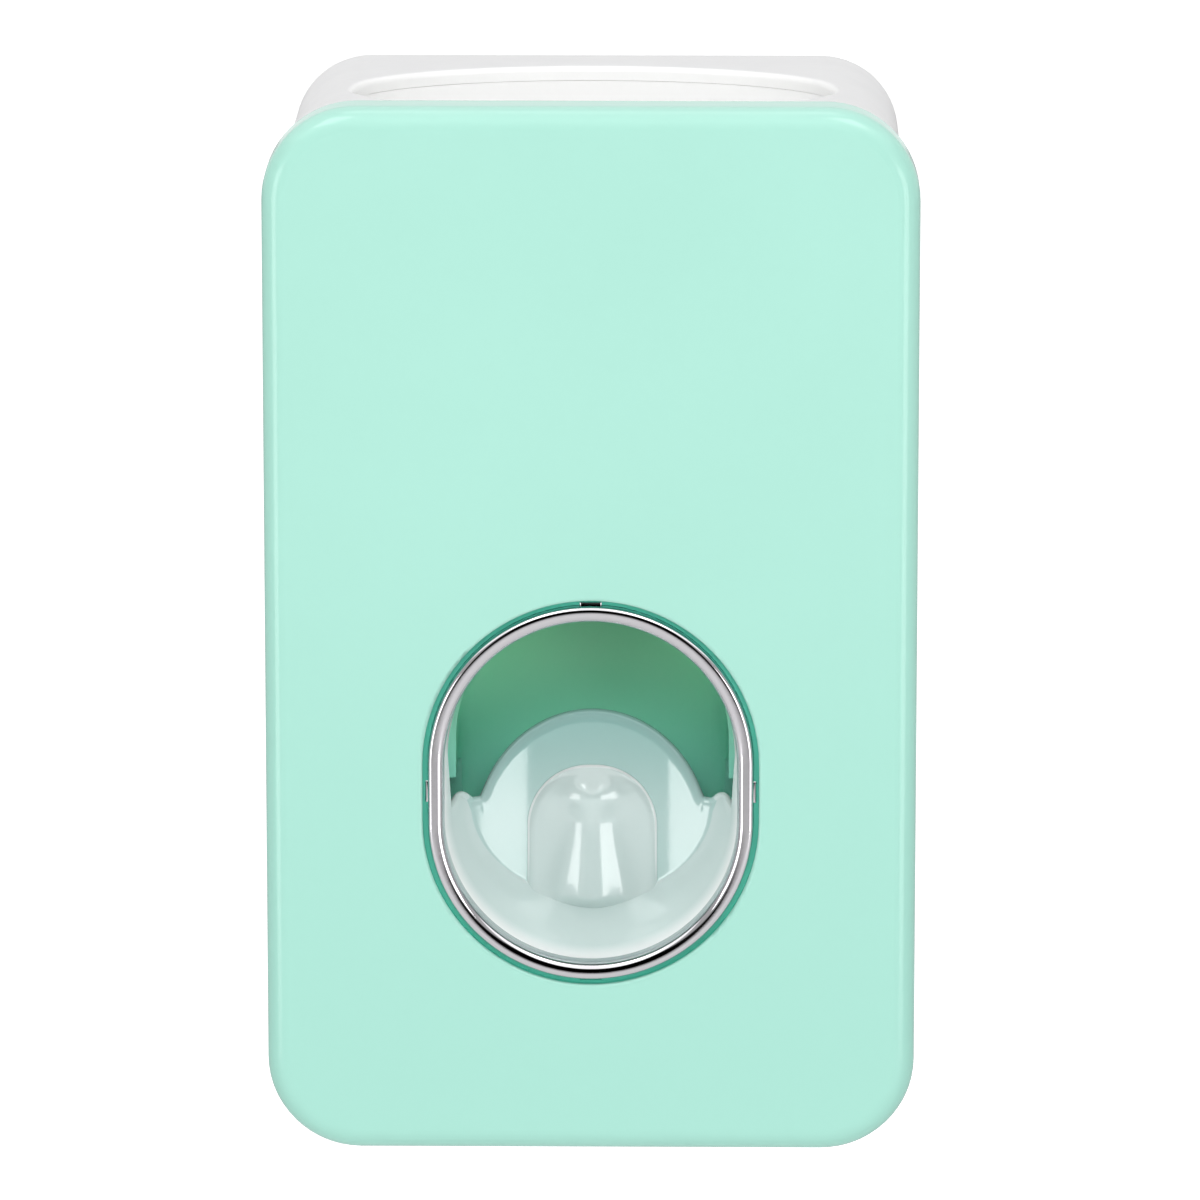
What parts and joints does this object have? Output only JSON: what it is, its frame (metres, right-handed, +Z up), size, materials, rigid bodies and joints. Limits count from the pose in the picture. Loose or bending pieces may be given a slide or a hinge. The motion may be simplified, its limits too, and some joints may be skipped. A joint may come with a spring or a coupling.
{
  "type": "toothpaste dispenser",
  "caption": "Wall-mounted toothpaste dispenser with a mint front, a chrome-ringed oval opening, a white push cup and a spring-return piston pump fed by a tube in its top.",
  "frame": {"origin": "Middle of the adhesive face that lies on the wall.", "axes": "X to the right seen from the front, +Y back into the wall, +Z up."},
  "size_m": [0.09, 0.0633, 0.147],
  "materials": {
    "mint_shell": "gloss",
    "mint_hood": "satin",
    "white_shell": "satin",
    "white_cup": "gloss",
    "white_inner": "matte",
    "grey_inner": "matte",
    "chrome_trim": "polished",
    "steel": "drawn",
    "silicone": "soft",
    "dark_rubber": "soft",
    "foam": "foam"
  },
  "bodies": {
    "dispenser": {"rear_body": "white_shell", "adhesive_pad": "foam", "tube_funnel": "white_shell", "chassis_plate": "white_inner", "chassis_screws": "steel", "brush_hood": "mint_hood", "hood_screws": "steel", "pump_barrel": "white_inner", "barrel_screws": "steel", "barrel_cap": "grey_inner", "inlet_tower": "white_inner", "tower_screws": "steel", "inlet_valve": "silicone", "tube_seal": "silicone", "guide_rods": "steel", "rod_clips": "steel", "return_springs": "steel"},
    "cup": {"push_cup": "white_cup", "guide_bushes": "grey_inner", "spout_yoke": "white_inner", "yoke_screws": "steel", "piston_rod": "grey_inner", "piston_seal": "dark_rubber", "outlet_valve": "silicone"},
    "cover": {"front_cover": "mint_shell", "chrome_ring": "chrome_trim"}
  },
  "joints": [
    {"name": "cup_slide", "type": "slide", "parent": "dispenser", "child": "cup", "axis": [0, 1, 0], "range_m": [0, 0.009], "stiffness_N_per_m": 500, "springref_m": -0.006, "deforming": ["return_springs"]},
    {"name": "cover_pull", "type": "slide", "parent": "dispenser", "child": "cover", "axis": [0, -1, 0], "range_m": [0, 0.04]}
  ]
}
